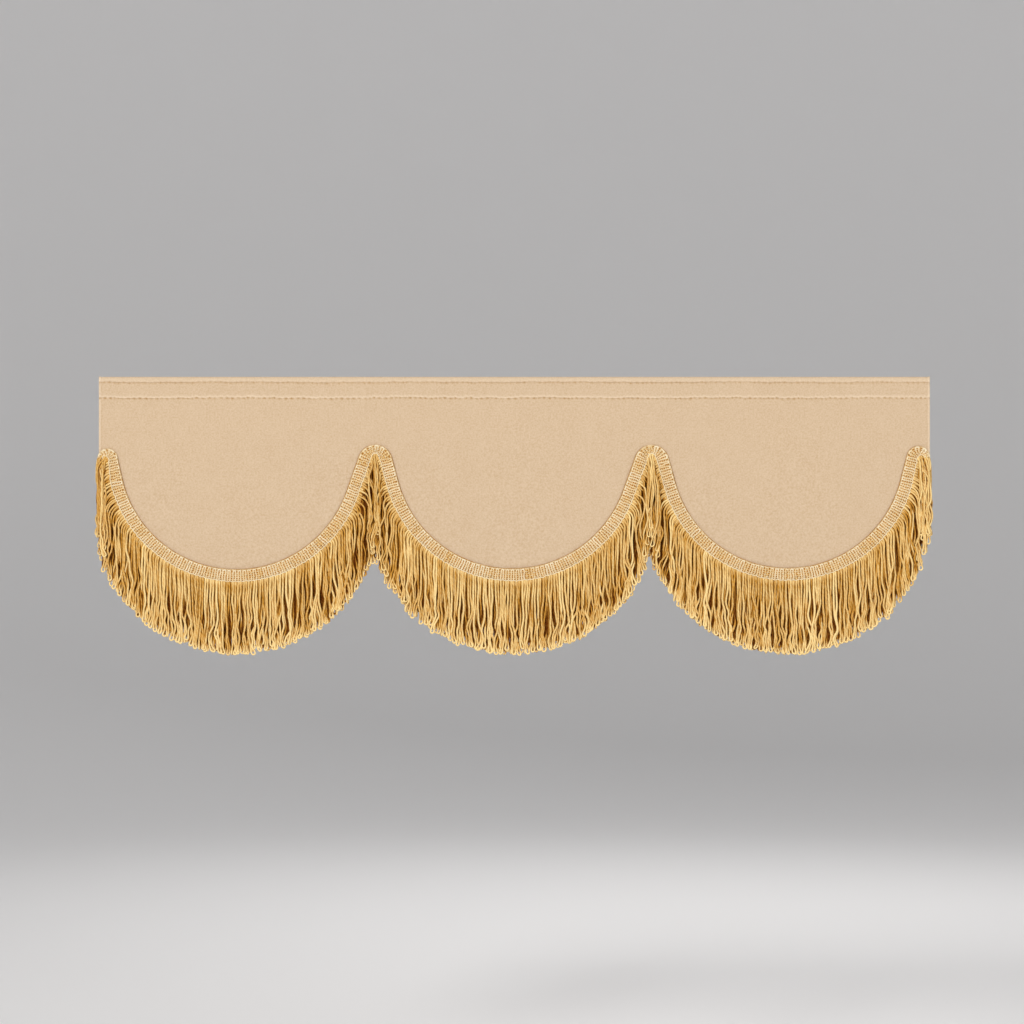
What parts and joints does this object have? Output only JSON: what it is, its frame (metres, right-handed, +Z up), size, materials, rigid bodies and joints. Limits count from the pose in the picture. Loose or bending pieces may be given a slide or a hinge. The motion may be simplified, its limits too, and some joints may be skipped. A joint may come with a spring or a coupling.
{
  "type": "truck windshield curtain",
  "caption": "Flat cloth valance with a stitched top hem and a scalloped lower edge, trimmed with a knitted heading and a fringe of long yarn loops.",
  "frame": {"origin": "middle of the top edge, at the fold of the hem and half way through its thickness", "axes": "+X along the width to the viewer's right, +Z up, the front with the fringe faces -Y"},
  "size_m": [1.01, 0.0087, 0.3372],
  "materials": {
    "panel_cloth": "matt beige suede-like cloth with a short mottled nap",
    "heading_yarn": "pale gold knitted band with fine ribs and soft sheen",
    "fringe_yarn": "gold twisted yarn with soft sheen",
    "sewing_thread": "beige sewing thread"
  },
  "bodies": {
    "root": {"panel": "panel_cloth", "heading": "heading_yarn", "fringe": "fringe_yarn"}
  },
  "joints": []
}
